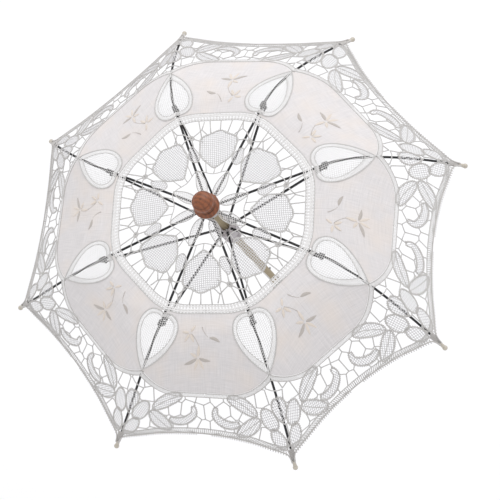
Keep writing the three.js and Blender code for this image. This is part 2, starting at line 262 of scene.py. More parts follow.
# Directions along a line: from the point before to the point after.
def tangents(line, axis, closed=False):
    around = np.roll(line, -1, axis) - np.roll(line, 1, axis)
    return around if closed else np.gradient(line, axis=axis)


# The line moved to its left by a distance that may change along it.
def beside(line, distance, closed=False):
    ahead = tangents(line, 0, closed)
    left = unit(np.stack([-ahead[:, 1], ahead[:, 0]], -1))
    return line + left * np.reshape(distance, (-1, 1))


# True for points inside a closed outline, by counting the sides that a ray to the left crosses.
def inside(points, outline):
    a, b = outline, np.roll(outline, -1, 0)
    x, y = points[..., 0, None], points[..., 1, None]
    crosses = (a[:, 1] > y) != (b[:, 1] > y)
    rise = np.where(np.abs(b[:, 1] - a[:, 1]) < 1e-9, 1e-9, b[:, 1] - a[:, 1])
    left = x < (b[:, 0] - a[:, 0]) * (y - a[:, 1]) / rise + a[:, 0]
    return (crosses & left).sum(-1) % 2 == 1


# Straight lines of count points: each point is a share of the start and the rest of the end.
def between(starts, ends, count):
    t = np.linspace(0, 1, count)[:, None]
    return starts[:, None] * (1 - t) + ends[:, None] * t


# The longest part of each straight line for which keep is true, as lines of count points.
def longestRuns(starts, ends, keep, count, shortest):
    samples = 65
    fine = between(starts, ends, samples)
    mask = keep(fine)
    place = np.arange(samples)
    closed = np.where(mask, -1, place)
    before = np.maximum.accumulate(closed, axis=1)
    run = np.where(mask, place - before, 0)
    last = run.argmax(1)
    first = last - np.maximum(run.max(1) - 1, 0)
    rows = np.arange(len(fine))
    a, b = fine[rows, first], fine[rows, last]
    kept = np.linalg.norm(b - a, axis=1) > shortest
    return between(a[kept], b[kept], count)


# Parallel threads across the inside of an outline.
def netInside(outline, pitch, degrees, count=6):
    ahead, left = heading(degrees)
    middle = outline.mean(0)
    reach = np.abs((outline - middle) @ left).max()
    length = np.abs((outline - middle) @ ahead).max() + pitch
    at = np.arange(-reach + pitch / 2, reach, pitch)[:, None]
    starts, ends = middle + at * left - length * ahead, middle + at * left + length * ahead
    return longestRuns(starts, ends, lambda p: inside(p, outline), count, pitch)


# Stitches between two lines, each slanting by a whole number of steps.
def rungs(inner, outer, pitch, slant=0):
    steps = max(int(lineLength(inner) / pitch), 2)
    a, b = evenly(inner, steps), evenly(outer, steps)
    return between(a[:steps - slant], b[slant:], 3)


# Short stitches across a line, one at each pitch, that reach a little past it on both sides.
def overcast(line, pitch, reach, closed=False):
    length = lineLength(np.concatenate([line, line[:1]]) if closed else line)
    spots = evenly(line, int(length / pitch), closed)
    return between(beside(spots, reach, closed), beside(spots, -reach, closed), 3)


# An outline round an axis: its half width follows the given shares along the axis.
def outlineOf(axis, halfWidths):
    left, right = beside(axis, halfWidths), beside(axis, -np.asarray(halfWidths))
    return np.concatenate([left, right[::-1]])


# A leaf's closed outline: an axis bowed sideways, with a power of a half sine for its width.
def leafOutline(start, end, width, bow=0.0, fullness=0.6, lean=1.0, count=22):
    start, end = np.asarray(start, float), np.asarray(end, float)
    u = np.linspace(0, 1, count)[:, None]
    ahead = unit(end - start)
    left = np.array([-ahead[1], ahead[0]])
    axis = start + (end - start) * u + left * bow * np.sin(pi * u)
    half = width / 2 * np.sin(pi * u[:, 0] ** lean) ** fullness
    outline = outlineOf(axis, half)
    return evenly(outline, 2 * count, closed=True)


def mirrored(lines):
    return lines * np.array([1.0, -1.0])


def bothHalves(side):
    return side, mirrored(side)[::-1]


# kind: (width, height) of the cord in mm. The centre stands at coverLift above the rib's line.
coverLift = 3.4
cords = {
    "edge": (1.8, 1.6), "outline": (1.45, 1.3), "bride": (1.45, 1.25), "rung": (1.1, 0.9),
    "net": (0.8, 0.55), "gauze": (0.55, 0.4), "stitch": (0.8, 0.6), "braid": (1.7, 1.2),
}


# Each line of the flat cover becomes a cord: a flattened round section carried along it, with its
# width along the cover and its height along the cover's normal.
def layCord(kind, lines, lift=0.0, closed=False, sides=6):
    width, height = cords[kind]
    lines = np.asarray(lines, float)
    lines = lines[None] if lines.ndim == 2 else lines
    centre, normal = onCover(lines, coverLift + lift), coverNormal(lines)
    ahead = tangents(centre, 1, closed)
    side = unit(np.cross(normal, ahead))
    turn = 2 * pi * np.arange(sides) / sides
    across, up = np.cos(turn)[:, None], np.sin(turn)[:, None]
    rings = (centre[:, :, None] + side[:, :, None] * across * width / 2
             + normal[:, :, None] * up * height / 2)
    step = np.linalg.norm(np.diff(centre, axis=1), axis=2)
    run = np.concatenate([np.zeros((len(lines), 1)), np.cumsum(step, 1)], 1)
    pattern = np.zeros(rings.shape)
    pattern[..., 0] = run[:, :, None]
    pattern[..., 1] = np.cos(turn) * width / 2
    pattern[..., 2] = np.sin(turn) * height / 2
    return rings, sweptFaces(rings, closed), pattern


print("cover: laying out the lace")


def newMaterial(name):
    material = bpy.data.materials.new(name)
    material.use_nodes = True
    material.node_tree.nodes.clear()
    return material


def finishMaterial(material, shader):
    addNode(material, "OutputMaterial", {"Surface": shader})
    return material


# Mercerised cotton cord, plied: slanting plies show as fine light and shade along every thread.
def cottonCord(name, light, dark, plyLength):
    m = newMaterial(name)
    at = addNode(m, "Attribute", attribute_name="pattern")
    along, across, _ = addNode(m, "SeparateXYZ", {0: at.outputs["Vector"]}).outputs
    slant = addNode(m, "Math", {0: across, 1: 1.2, 2: along}, operation="MULTIPLY_ADD")
    angle = addNode(m, "Math", {0: slant, 1: 2 * pi / plyLength}, operation="MULTIPLY")
    ply = addNode(m, "Math", {0: angle}, operation="SINE")
    place = addNode(m, "TexCoord")
    fuzz = addNode(m, "TexNoise", {
        "Vector": place.outputs["Object"], "Scale": 700.0, "Detail": 3.0})
    mixed = addNode(m, "Math", {0: ply, 1: 0.3, 2: fuzz.outputs["Fac"]},
                    operation="MULTIPLY_ADD", use_clamp=True)
    colour = addNode(m, "Mix", {0: mixed, 6: linear(dark), 7: linear(light)}, data_type="RGBA")
    bump = addNode(m, "Bump", {
        "Strength": 0.5, "Distance": 0.0002, "Height": mixed})
    return finishMaterial(m, addNode(m, "BsdfPrincipled", {
        "Base Color": colour.outputs[2], "Roughness": 0.85, "Sheen Weight": 0.25,
        "Sheen Roughness": 0.5, "Normal": bump}))


# Plain woven linen, washed: slubs run both ways, with faint warm and cool patches. The weave is
# drawn at 0.9 mm a thread, about twice the real one, so that it shows.
def wovenLinen(name, light, dark, warm, threadPitch=0.9):
    m = newMaterial(name)
    at = addNode(m, "Attribute", attribute_name="pattern")
    slubs = []
    for squeeze in ((0.05, 0.9, 1), (0.9, 0.05, 1)):
        across = addNode(m, "Mapping", {"Vector": at.outputs["Vector"],
                                                         "Scale": squeeze})
        slubs.append(addNode(m, "TexNoise", {
            "Vector": across, "Scale": 1.0, "Detail": 2.0}))
    parts = addNode(m, "SeparateXYZ", {0: at.outputs["Vector"]})
    waves = []
    for axis in (0, 1):
        phase = addNode(m, "Math", {0: parts.outputs[axis], 1: pi / threadPitch},
                        operation="MULTIPLY")
        waves.append(addNode(m, "Math", {0: phase}, operation="SINE"))
    weave = addNode(m, "Math", {0: waves[0], 1: waves[1]}, operation="MULTIPLY")
    slub = addNode(m, "Math", {0: slubs[0], 1: slubs[1]}, operation="ADD")
    height = addNode(m, "Math", {0: weave, 1: 0.12, 2: slub}, operation="MULTIPLY_ADD")
    tone = addNode(m, "MapRange", {
        "Value": height, "From Min": 0.6, "From Max": 1.4})
    thread = addNode(m, "Mix", {0: tone, 6: linear(dark), 7: linear(light)}, data_type="RGBA")
    patches = addNode(m, "TexNoise", {
        "Vector": at.outputs["Vector"], "Scale": 0.03, "Detail": 2.0})
    patch = addNode(m, "MapRange", {
        "Value": patches.outputs["Fac"], "From Min": 0.45, "From Max": 0.8, "To Max": 0.5})
    colour = addNode(m, "Mix", {0: patch, 6: thread.outputs[2], 7: linear(warm)},
                     data_type="RGBA")
    bump = addNode(m, "Bump", {
        "Strength": 0.35, "Distance": 0.0002, "Height": height})
    return finishMaterial(m, addNode(m, "BsdfPrincipled", {
        "Base Color": colour.outputs[2], "Roughness": 0.9, "Sheen Weight": 0.15,
        "Sheen Roughness": 0.6, "Normal": bump}))


# Silk satin stitch: close parallel stitches across each leaf, with a soft lustre.
def satinStitch(name, light, dark, stitch=0.7):
    m = newMaterial(name)
    at = addNode(m, "Attribute", attribute_name="pattern")
    along, across, _ = addNode(m, "SeparateXYZ", {0: at.outputs["Vector"]}).outputs
    fold = addNode(m, "Math", {0: across}, operation="ABSOLUTE")
    slant = addNode(m, "Math", {0: fold, 1: 0.6, 2: along}, operation="MULTIPLY_ADD")
    angle = addNode(m, "Math", {0: slant, 1: 2 * pi / stitch}, operation="MULTIPLY")
    wave = addNode(m, "Math", {0: angle}, operation="SINE")
    share = addNode(m, "MapRange", {
        "Value": wave, "From Min": -1.0, "From Max": 1.0})
    colour = addNode(m, "Mix", {0: share, 6: linear(dark), 7: linear(light)}, data_type="RGBA")
    bump = addNode(m, "Bump", {
        "Strength": 0.6, "Distance": 0.0002, "Height": share})
    return finishMaterial(m, addNode(m, "BsdfPrincipled", {
        "Base Color": colour.outputs[2], "Roughness": 0.5, "Sheen Weight": 0.3,
        "Normal": bump}))


# Turned beech, stained red-brown and varnished: growth rings and fine pores under a soft gloss,
# with painted shade in the grooves: the deeper the groove, the darker.
def turnedWood(name, light, dark, grooveShadeColour):
    m = newMaterial(name)
    place = addNode(m, "TexCoord")
    drawn = addNode(m, "Mapping", {
        "Vector": place.outputs["Object"], "Location": (0.004, 0.019, 0.0),
        "Rotation": (0.12, 0.08, 0), "Scale": (1, 1, 0.15)})
    rings = addNode(m, "TexWave", {
        "Vector": drawn, "Scale": 62.0, "Distortion": 5.0, "Detail": 3.0,
        "Detail Scale": 1.6}, wave_type="RINGS", rings_direction="Z")
    pores = addNode(m, "TexNoise", {
        "Vector": drawn, "Scale": 1600.0, "Detail": 3.0})
    grain = addNode(m, "Math", {0: rings.outputs["Fac"], 1: 0.32, 2: pores.outputs["Fac"]},
                    operation="MULTIPLY_ADD", use_clamp=True)
    turned = addNode(m, "Mix", {0: grain, 6: linear(dark), 7: linear(light)}, data_type="RGBA")
    at = addNode(m, "Attribute", attribute_name="pattern")
    groove = addNode(m, "SeparateXYZ", {0: at.outputs["Vector"]})
    # painted shade: the groove depth mixes a dark colour into the wood
    grooveShade = addNode(m, "MapRange", {
        "Value": groove.outputs[0], "From Max": 1.1, "To Max": 0.8})
    colour = addNode(m, "Mix", {0: grooveShade, 6: turned.outputs[2], 7: linear(grooveShadeColour)},
                     data_type="RGBA")
    bump = addNode(m, "Bump", {
        "Strength": 0.2, "Distance": 0.0001, "Height": grain})
    return finishMaterial(m, addNode(m, "BsdfPrincipled", {
        "Base Color": colour.outputs[2], "Roughness": 0.45, "Coat Weight": 0.2,
        "Coat Roughness": 0.2, "Normal": bump}))


# Metals and mouldings: one colour with faint drawn or moulded marks and a little wear.
def plainFinish(name, light, dark, metallic, roughness, markScale, stretch=(1, 1, 1), coat=0.0):
    m = newMaterial(name)
    place = addNode(m, "TexCoord")
    drawn = addNode(m, "Mapping", {
        "Vector": place.outputs["Object"], "Scale": stretch})
    marks = addNode(m, "TexNoise", {
        "Vector": drawn, "Scale": markScale, "Detail": 4.0})
    colour = addNode(m, "Mix", {0: marks.outputs["Fac"], 6: linear(dark), 7: linear(light)},
                     data_type="RGBA")
    rough = addNode(m, "MapRange", {
        "Value": marks.outputs["Fac"], "To Min": roughness - 0.08, "To Max": roughness + 0.12})
    bump = addNode(m, "Bump", {
        "Strength": 0.15, "Distance": 0.00005, "Height": marks.outputs["Fac"]})
    return finishMaterial(m, addNode(m, "BsdfPrincipled", {
        "Base Color": colour.outputs[2], "Metallic": metallic, "Roughness": rough,
        "Coat Weight": coat, "Normal": bump}))


# The lace thread and outline cord colours are greyed below white cotton as painted shade, so the
# threads show as shaded lines against the bright floor.
laceCotton = cottonCord("cotton lace thread, plied", "#d8d6d5", "#aaa8a6", 1.3)
cordCotton = cottonCord("cotton outline cord, plied", "#d3d0ce", "#a5a2a0", 1.9)
netCotton = cottonCord("fine cotton net, bleached", "#e3e2e3", "#bfbdbf", 1.0)
braidCotton = cottonCord("cotton braid, white", "#f4f3f3", "#d2d0d0", 1.6)
linenCloth = wovenLinen("woven linen, washed", "#e0dcdd", "#ccc9ca", "#e2d5ca")
satinGrey = satinStitch("silk satin stitch, grey beige", "#c6bfba", "#aea7a1")
satinPeach = satinStitch("silk satin stitch, pale peach", "#e6dcd3", "#d4c9be")
# the last colour is the painted shade in the grooves of the finial and handle
beech = turnedWood("turned beech, stained and varnished", "#98552f", "#3c1f10", "#1d0e07")
blackSteel = plainFinish("steel wire, black lacquered", "#1a1a1c", "#0a0a0b", 0.0, 0.55, 900.0,
                         coat=0.1)
shaftSteel = plainFinish("steel tube, brassed and drawn", "#aa9c80", "#877a60", 1.0, 0.45, 500.0,
                         (1, 1, 0.02))
nickelSteel = plainFinish("spring steel, nickel plated", "#c9c8c6", "#a9a8a8", 1.0, 0.28, 800.0)
hubPlastic = plainFinish("nylon hub, moulded", "#c9c4c6", "#aaa5a8", 0.0, 0.5, 300.0)
tipEnamel = plainFinish("steel ball, cream enamel", "#cdc6ba", "#aea79b", 0.0, 0.3, 400.0,
                        coat=0.4)

# The lace's drawing in the flat cover, in mm and degrees: rings and edges are r over the angle
# from the rib.
lace = {
    "ringInner": 117.5, "ringOuter": 128.0, "ringDip": 4.0, "ringDipAngle": 6.0,
    "scallopCusp": 193.0, "scallopTop": 216.0, "scallopRise": 0.62, "braidWidth": 5.0,
    "tapeWidth": 5.2, "brideCell": 16.5, "netPitch": 2.4,
    "teardropStart": 127.0, "teardropEnd": 193.5, "teardropWidth": 50.0, "teardropBraid": 4.6,
    "discTurn": -3.5, "shieldRadius": 78, "picotPitch": 2.7, "ringPosts": 48,
}
halfSector = 22.5


def ringDip(degrees):
    return lace["ringDip"] * np.exp(-(degrees / lace["ringDipAngle"]) ** 2)


# The linen's outer edge: cusps on the ribs and a flat round arc between them.
def scallop(degrees, out=0.0):
    t = np.abs(degrees) / halfSector
    rise = 1 - np.maximum(1 - t / lace["scallopRise"], 0) ** 2
    r = lace["scallopCusp"] + (lace["scallopTop"] - lace["scallopCusp"]) * rise
    return polar(r + out * (1 + 0.35 * (1 - t) ** 4), degrees)


# The teardrop on a rib: x runs out by a half cosine, and its half width is a half sine drawn in
# towards the point.
def teardrop(shrink=0.0, count=49):
    t = np.linspace(0, 1, count)
    x = (1 - np.cos(pi * t)) / 2
    w = np.sin(pi * t) * np.cos(pi * t / 2) ** 0.55
    start, end = lace["teardropStart"] + shrink, lace["teardropEnd"] - 2.2 * shrink
    half = (lace["teardropWidth"] / 2 - shrink) * w / w.max()
    return np.stack([start + (end - start) * x, half], -1)


def bothSides(side):
    return np.concatenate([side, mirrored(side)[-2:0:-1]])


# The cover's outer edge, from the neck at the rib's end to half way between two ribs.
edgeSide = smooth(np.concatenate([
    [[281.5, 1.7], [277.0, 2.4], [273.2, 5.0], [271.2, 11.0]],
    polar([268.8, 264.8, 262.4, 260.9, 260.3, 260.1], [5.0, 9.0, 13.0, 17.0, 20.5, 22.5])]), 64)
tapeInner = beside(edgeSide[8:], lace["tapeWidth"])
tapeInner = np.concatenate([[[264.5, 0.8]], tapeInner[2:]])

# Net-filled shapes of one side.
shoulderPetal = leafOutline((268.5, 3.5), (248.5, 13.5), 15.0, bow=-1.5, fullness=0.55)
sidePetal = leafOutline((250.5, 12.0), (228.5, 19.5), 18.0, bow=1.0, fullness=0.5, lean=0.9)
centrePetal = leafOutline((241.0, 0.0), (217.5, 0.0), 17.0, fullness=0.5, lean=1.1)
edgeLeaf = leafOutline((238.5, 25.5), (251.5, 59.0), 14.0, bow=-2.0, fullness=0.5, lean=0.9)
linenLeaf = leafOutline((235.5, 27.5), (213.0, 58.0), 14.5, bow=2.0, fullness=0.5, lean=0.9)
crescentLine = smooth(polar([246.5, 249.0, 247.0, 240.0, 231.5],
                            [12.2, 14.2, 17.0, 19.2, 18.9]), 26)
crescentHalf = 4.3 * np.sin(pi * np.linspace(0.06, 0.94, 26)) ** 0.4
crescent = outlineOf(crescentLine, crescentHalf)

# Shields of the centre: six soft lobes round an oval, narrower towards the axis.
around = np.linspace(0, 2 * pi, 72, endpoint=False)
lobes = 1 + 0.045 * np.cos(6 * around)
x, y = 24.5 * lobes * np.cos(around), 23.0 * lobes * np.sin(around)
y = y * (1 + 0.007 * x) * (1 - 0.0002 * x * x)
shieldOutline = turned(np.stack([lace["shieldRadius"] + x, y], -1), halfSector + lace["discTurn"])


# Needle-lace bars between the shapes: the edges of a Voronoi net of scattered cells. Seeds lie in
# staggered rings and are moved a little at random, the same in every sector. The corner shared by
# three cells is the middle of the circle through their seeds.
def voronoiBars(rLow, rHigh, cell, seed):
    rng = np.random.default_rng(seed)
    rows = int(round((rHigh - rLow) / (cell * 0.95)))
    seeds = []
    for row in range(rows + 1):
        r = rLow + (rHigh - rLow) * row / rows
        count = max(int(round(r * sector / (cell * 0.9))), 3)
        at = (np.arange(count) + 0.5 * (row % 2) + 0.28 * rng.uniform(-1, 1, count)) / count
        r = r + 0.24 * cell * rng.uniform(-1, 1, count)
        for turn in (-1, 0, 1):
            seeds.append(polar(r, np.degrees((at - 0.5 + turn) * sector)))
    seeds = np.concatenate(seeds)
    _, _, triangles, *_ = delaunay_2d_cdt([Vector(p) for p in seeds], [], [], 0, 1e-6)
    tri = np.array([t for t in triangles if len(t) == 3])
    a, b, c = (seeds[tri[:, k]] for k in range(3))
    ab, ac = b - a, c - a
    cross = 2 * (ab[:, 0] * ac[:, 1] - ab[:, 1] * ac[:, 0])
    ab2, ac2 = (ab ** 2).sum(1), (ac ** 2).sum(1)
    middle = a + np.stack([ac[:, 1] * ab2 - ab[:, 1] * ac2, ab[:, 0] * ac2 - ac[:, 0] * ab2],
                          -1) / cross[:, None]
    sides = np.sort(np.concatenate([tri[:, [0, 1]], tri[:, [1, 2]], tri[:, [2, 0]]]), 1)
    owner = np.tile(np.arange(len(tri)), 3)
    order = np.lexsort((sides[:, 1], sides[:, 0]))
    sides, owner = sides[order], owner[order]
    pair = np.nonzero((sides[1:] == sides[:-1]).all(1))[0]
    starts, ends = middle[owner[pair]], middle[owner[pair + 1]]
    centre = (starts + ends) / 2
    angle = np.degrees(np.arctan2(centre[:, 1], centre[:, 0]))
    short = np.linalg.norm(ends - starts, axis=1) < 2.5 * cell
    keep = (angle > -halfSector) & (angle <= halfSector) & short
    return starts[keep], ends[keep]


# The radius of an edge at the angles of some points, measured from the nearest rib.
def radiusAt(edge, points):
    r, angle, _ = fromRib(edge)
    order = np.argsort(angle)
    return np.interp(np.abs(fromRib(points)[2]), angle[order], r[order])


sideShapes = [shoulderPetal, sidePetal, edgeLeaf, linenLeaf, crescent]
outerShapes = [centrePetal] + sideShapes + [mirrored(s)[::-1] for s in sideShapes]
braidSide = scallop(np.linspace(0, halfSector, 40), lace["braidWidth"])


def freeOuter(points):
    r, _, angle = fromRib(points)
    free = (r > radiusAt(braidSide, points) - 0.4) & (r < radiusAt(tapeInner, points) + 0.4)
    folded = np.stack([r * np.cos(angle), r * np.sin(angle)], -1)
    for shape in outerShapes:
        free &= ~inside(folded, shape)
    return free


outerBars = longestRuns(*voronoiBars(188, 268, lace["brideCell"], 11), freeOuter, 4, 2.2)

# One wedge of lace reaches half way to the next rib on either side.
outer, cord, centre, net, braid = [], [], [], [], []      # parts by the thread they are made of


def netFill(parts, outline, pitch, degrees, kind="net"):
    for turn in (0, 90):
        parts.append(layCord(kind, netInside(outline, pitch, degrees + turn), lift=-0.1, sides=4))


outer.append(layCord("bride", outerBars))
for k, shape in enumerate(outerShapes):
    cord.append(layCord("outline", shape, lift=0.15, closed=True))
    outer.append(layCord("stitch", overcast(shape, 2.0, 1.35, closed=True), lift=0.2))
    netFill(net, shape, lace["netPitch"], 20 + 25 * k)
for leaf in (edgeLeaf, linenLeaf):
    for side in bothHalves(leaf):
        vein = (side[1:21] + side[43:23:-1]) / 2      # half way between the leaf's two sides
        outer.append(layCord("rung", vein, lift=0.3))
for half in bothHalves(edgeSide):
    cord.append(layCord("edge", half, lift=0.1))
    outer.append(layCord("rung", overcast(half[6:-6], lace["picotPitch"], 2.1), lift=0.1))
for half in bothHalves(tapeInner):
    outer.append(layCord("bride", half))
bothHands = (np.array([1.0, 1.0]), np.array([1.0, -1.0]))      # as drawn, and mirrored
for hand in bothHands:
    outer.append(layCord("rung", rungs(tapeInner * hand, edgeSide[10:] * hand, 2.6)))
seamSide = scallop(np.linspace(0, halfSector, 40), 0.9)
for side, lift in ((braidSide, 0.3), (seamSide, 0.5)):
    for half in bothHalves(side):
        cord.append(layCord("rung", half, lift=lift))
for hand in bothHands:
    braid.append(layCord("rung", rungs(seamSide * hand, braidSide * hand, 1.7, slant=1),
                         lift=0.1))

# teardrop: two braids with slanting stitches between them, and a fine net inside
dropOuter, dropInner = teardrop(), teardrop(lace["teardropBraid"])
outer.append(layCord("bride", bothSides(dropOuter), lift=0.5, closed=True))
outer.append(layCord("stitch", bothSides(dropInner), lift=0.3, closed=True))
for hand in bothHands:
    braid.append(layCord("rung", rungs(dropInner * hand, dropOuter * hand, 1.6, slant=1),
                         lift=0.15))
netFill(braid, bothSides(dropInner), 2.4, 4, "gauze")

# ring tape: two seams with pairs of upright stitches
ringAngles = np.linspace(-halfSector, halfSector, 60)
ringLow, ringHigh = lace["ringInner"], lace["ringOuter"]
for r, kind, parts in ((ringLow, "rung", outer), (ringLow + 2.2, "rung", braid),
                       (ringHigh - 4.4, "braid", braid), (ringHigh - 2.2, "braid", braid),
                       (ringHigh, "rung", outer)):
    parts.append(layCord(kind, polar(r - ringDip(ringAngles), ringAngles), lift=0.2))
posts = np.arange(lace["ringPosts"])
posts = 2 * halfSector * (posts + 0.35 * (posts % 2) + 0.2) / len(posts) - halfSector
braid.append(layCord("rung", between(polar(ringLow - ringDip(posts), posts),
                                     polar(ringHigh - ringDip(posts), posts + 0.4), 3)))

# centre disc: shields with net, bars to the ring, spiders beside the ribs, and leaves at the axis
centre.append(layCord("outline", shieldOutline, lift=0.15, closed=True))
centre.append(layCord("stitch", overcast(shieldOutline, 2.2, 1.3, closed=True), lift=0.2))
netFill(net, shieldOutline, 2.6, halfSector + lace["discTurn"] + 8)
middle = halfSector + lace["discTurn"]
offsets = np.array([-13.5, -6.5, 0.5, 7.5, 14.5])
shieldAngles = np.degrees(np.arctan2(shieldOutline[:, 1], shieldOutline[:, 0]))
shieldRadii = np.hypot(*shieldOutline.T)
tops = shieldOutline[np.abs(shieldAngles - middle - offsets[:, None] * 0.92
                            - 1e3 * (shieldRadii < 80)).argmin(1)]
feet = polar(lace["ringInner"] - ringDip(middle + offsets), middle + offsets)
centre.append(layCord("bride", between(tops, feet, 3)))
spider = polar(93.5, lace["discTurn"] - 1.5)
around = np.linspace(0, 2 * pi, 12, endpoint=False)
for r in (3.1, 1.9, 0.7):
    ring = spider + r * np.stack([np.cos(around), np.sin(around)], -1)
    centre.append(layCord("rung", ring, lift=0.1, closed=True))
knots = polar([105.0, 105.0, 89.0, 88.0, 80.0],
              lace["discTurn"] + np.array([-9.5, 7.5, 7.6, -10.0, -1.2]))
centre.append(layCord("bride", between(np.repeat(spider[None], 5, 0), knots, 3)))
corners = polar([116.0, 115.0, 98.0, 97.0],
                lace["discTurn"] + np.array([-11.5, 9.0, 11.5, -13.8]))
centre.append(layCord("bride", between(knots[[0, 1, 1, 0]], corners, 3)))
centre.append(layCord("bride", between(spider[None], polar([114.5], [-2.0]), 3)))
wing = smooth([(82, 0), (74, 5.2), (66, 6.2), (60.5, 2.5), (60.5, -2.5), (66, -6.2), (74, -5.2)],
              30, closed=True)
wing = turned(wing, lace["discTurn"])
centre.append(layCord("rung", wing, lift=0.1, closed=True))
netFill(net, wing, 2.4, 10)


def innerRing(degrees):
    return polar(46 - 1.8 * np.cos(np.radians((degrees - middle) * ribCount)), degrees)


centre.append(layCord("rung", innerRing(ringAngles)))
spokes = middle + np.array([-12.0, -1.0, 11.0])
bottoms = shieldOutline[np.abs(shieldAngles - spokes[:, None]
                               + 1e3 * (shieldRadii > 74)).argmin(1)]
centre.append(layCord("rung", between(innerRing(spokes), bottoms, 3)))
eyeLeaf = turned(leafOutline((15, 0), (49, 0), 12.5, fullness=0.75, lean=0.8), lace["discTurn"])
centre.append(layCord("rung", eyeLeaf, lift=0.15, closed=True))
netFill(braid, eyeLeaf, 2.2, 40, "gauze")
for r, kind in ((14.0, "braid"), (11.0, "outline")):      # the collar round the shaft
    centre.append(layCord(kind, polar(r, ringAngles)))


linen = {"rows": 46, "columns": 34, "thickness": 0.45, "pucker": 0.35, "puckerRate": 0.21,
         "puckerWaves": 16}


# Linen of half a gore, between the ring, the teardrop and the scalloped edge.
# Four edges blended into a surface: each point is the sum of the two ruled surfaces between facing
# edges, less the one through the four corners.
def linenSide(flip, wedge):
    rows, columns = linen["rows"], linen["columns"]
    v = np.linspace(0, 1, rows)[:, None, None]
    u = np.linspace(0, 1, columns)[None, :, None]
    drop = teardrop(0, 97)
    drop = drop[np.abs(np.hypot(*drop.T) - (lace["ringOuter"] - 3)).argmin() + 2:]
    near = evenly(drop, rows)
    startAngle = np.degrees(np.arctan2(near[0, 1], near[0, 0]))
    far = polar(np.linspace(lace["ringOuter"], lace["scallopTop"], rows), halfSector)
    low = np.linspace(startAngle, halfSector, columns)
    bottom = polar(lace["ringOuter"] - ringDip(low), low)
    top = evenly(scallop(np.linspace(0, halfSector, 60)), columns)
    near[0], near[-1], far[0] = bottom[0], top[0], bottom[-1]
    ruled = near[:, None] * (1 - u) + far[:, None] * u
    other = bottom[None] * (1 - v) + top[None] * v
    corners = ((near[0] * (1 - u) + far[0] * u) * (1 - v)
               + (near[-1] * (1 - u) + far[-1] * u) * v)
    plane = (ruled + other - corners) * np.array([1.0, flip])
    r, angle = fromRib(plane)[0], np.degrees(fromRib(plane)[1])
    puckers = (linen["pucker"] * np.sin(r * linen["puckerRate"])
               * np.cos(np.radians(angle * linen["puckerWaves"]))
               * np.sin(pi * np.clip((r - 128) / 84, 0, 1)))
    points = onCover(plane, coverLift + puckers)
    along = plane @ rotation(flip * sector / 2)[:2, :2]      # the weave lies along the gore
    gore = 40.0 * ((wedge + (flip - 1) // 2) % ribCount)     # and differs from gore to gore
    pattern = np.concatenate([along, np.full(plane.shape[:2] + (1,), gore)], -1)
    faces = gridFaces(rows, columns)
    if flip < 0:
        faces = [f[:, ::-1] for f in faces]
    return points, faces, pattern


# A padded satin-stitch leaf: its height is a half round over its width.
def stitchedLeaf(root, degrees, length, width, bow=0.0):
    ahead, left = heading(degrees)
    u = np.linspace(0.02, 0.98, 14)[:, None]
    v = np.linspace(-1, 1, 9)[None, :]
    half = width / 2 * np.sin(pi * u ** 0.85) ** 0.75
    plane = (np.asarray(root) + (u * length)[..., None] * ahead
             + (v * half + bow * np.sin(pi * u))[..., None] * left)
    height = 0.25 + 0.75 * np.sqrt(np.maximum(1 - v ** 2, 0)) * np.sin(pi * u) ** 0.3
    points = onCover(plane, coverLift + height)
    pattern = np.stack([u * length + 0 * v, v * half, 0 * u * v], -1)
    return points, gridFaces(14, 9), pattern


def sprig(r, degrees, leaves):
    root = polar(r, degrees)
    return [stitchedLeaf(root + 1.3 * heading(degrees + turn)[0], degrees + turn, *leaf)
            for turn, *leaf in leaves]


greyLeaves = sprig(179, 19.8, ((-68, 17, 4.2, 1), (82, 15, 4.0, -1)))
greyLeaves += sprig(156, 24.0, ((72, 14, 4.2, 1),))
peachLeaves = sprig(179, 19.8, ((-14, 13, 3.8, 0), (34, 14, 3.8, 0), (178, 13, 3.8, 0),
                                (-120, 10, 3.4, 0)))
peachLeaves += sprig(151, 15.5, ((30, 11, 3.6, 0), (-28, 10, 3.4, 0), (150, 9, 3.2, 0),
                                 (-100, 9, 3.4, 0)))
stems = [smooth(polar(out, degrees), 14) for out, degrees in (
    ((166.0, 160.0, 155.0, 152.0), (20.0, 18.8, 17.4, 16.2)),
    ((144.0, 148.0, 152.0, 156.0), (21.0, 21.6, 22.6, 24.0)))]
stitches = [layCord("stitch", stems, lift=0.3)]


# The linen of one wedge: both halves of its gore.
linenParts = [linenSide(1, 0), linenSide(-1, 0)]


for i in range(ribCount):
    turn, body, number = i * sector, f"rib_{i + 1}", i + 1
    made = {}
    for label, parts, material in (
            ("linen", [linenSide(1, i), linenSide(-1, i)], linenCloth),
            ("outer_lace", outer, laceCotton), ("outline_cord", cord, cordCotton),
            ("centre_lace", centre, laceCotton), ("net_fillings", net, netCotton),
            ("braid", braid, braidCotton), ("grey_leaves", greyLeaves, satinGrey),
            ("peach_leaves", peachLeaves, satinPeach), ("stems", stitches, satinGrey)):
        made[label] = makePiece(f"{label}_{number}", parts, material, turn)
    wall = made["linen"].modifiers.new("cloth", "SOLIDIFY")
    wall.thickness, wall.offset = linen["thickness"] * mm, 0
    even = made["linen"].modifiers.new("even shading", "WEIGHTED_NORMAL")
    even.weight = 100
    for piece in made.values():
        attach(piece, body)
        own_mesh(piece)
    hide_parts(f"cover_panel_{number}")
print("cover: eight wedges made")


# A round or flattened section carried along a path in space: widths lie along side, heights along
# the cross product of the path and side.
def carried(path, side, widths, heights, sides=16, closed=False):
    ahead = unit(tangents(path, 0, closed))
    side = unit(side - ahead * (side * ahead).sum(-1, keepdims=True))
    up = np.cross(ahead, side)
    turn = 2 * pi * np.arange(sides) / sides
    widths, heights = np.reshape(widths, (-1, 1, 1)), np.reshape(heights, (-1, 1, 1))
    rings = (path[:, None] + side[:, None] * np.cos(turn)[:, None] * widths / 2
             + up[:, None] * np.sin(turn)[:, None] * heights / 2)[None]
    return rings, sweptFaces(rings, closed), np.zeros(rings.shape)
